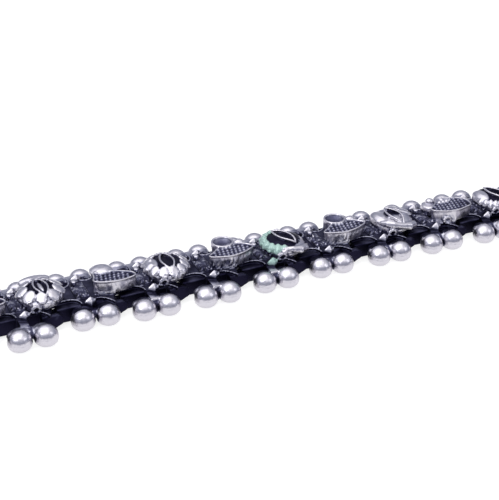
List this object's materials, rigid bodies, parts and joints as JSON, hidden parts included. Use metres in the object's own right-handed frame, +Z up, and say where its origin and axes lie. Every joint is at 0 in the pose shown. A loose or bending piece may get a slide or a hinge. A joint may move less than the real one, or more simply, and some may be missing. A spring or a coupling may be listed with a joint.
{
  "type": "chain bracelet",
  "caption": "Chain bracelet of cast ornate links with double-ball edges, scalloped plates and alternating domed flower and granulated leaf beads, closed by a plain box clasp.",
  "frame": {"origin": "middle of the closed loop, on the surface that it lies on", "axes": "+Z up, away from the surface that the bracelet lies on; +X along the straight run of links, and the way in which the links are counted there; +Y across the chain, from the middle of the loop towards the straight run"},
  "size_m": [0.0859, 0.0467, 0.0029],
  "materials": {
    "oxidised_silver": "cast silver, darkened in the recesses and polished on the raised parts",
    "plain_silver": "plain silver, lightly brushed and darkened at the edges"
  },
  "bodies": {
    "root": {"link_01": "oxidised_silver", "link_02": "oxidised_silver", "link_03": "oxidised_silver", "link_04": "oxidised_silver", "link_05": "oxidised_silver", "link_06": "oxidised_silver", "link_07": "oxidised_silver", "link_08": "oxidised_silver", "link_09": "oxidised_silver", "link_10": "oxidised_silver", "link_11": "oxidised_silver", "link_12": "oxidised_silver", "link_13": "oxidised_silver", "link_14": "oxidised_silver", "link_15": "oxidised_silver", "link_16": "oxidised_silver", "link_17": "oxidised_silver", "link_18": "oxidised_silver", "link_19": "oxidised_silver", "link_20": "oxidised_silver", "link_21": "oxidised_silver", "link_22": "oxidised_silver", "link_23": "oxidised_silver", "link_24": "oxidised_silver", "link_25": "oxidised_silver", "link_26": "oxidised_silver", "link_27": "oxidised_silver", "link_28": "oxidised_silver", "link_29": "oxidised_silver", "link_30": "oxidised_silver", "link_31": "oxidised_silver", "link_32": "oxidised_silver", "link_33": "oxidised_silver", "link_34": "oxidised_silver", "link_35": "oxidised_silver", "clasp": "plain_silver"}
  },
  "joints": []
}
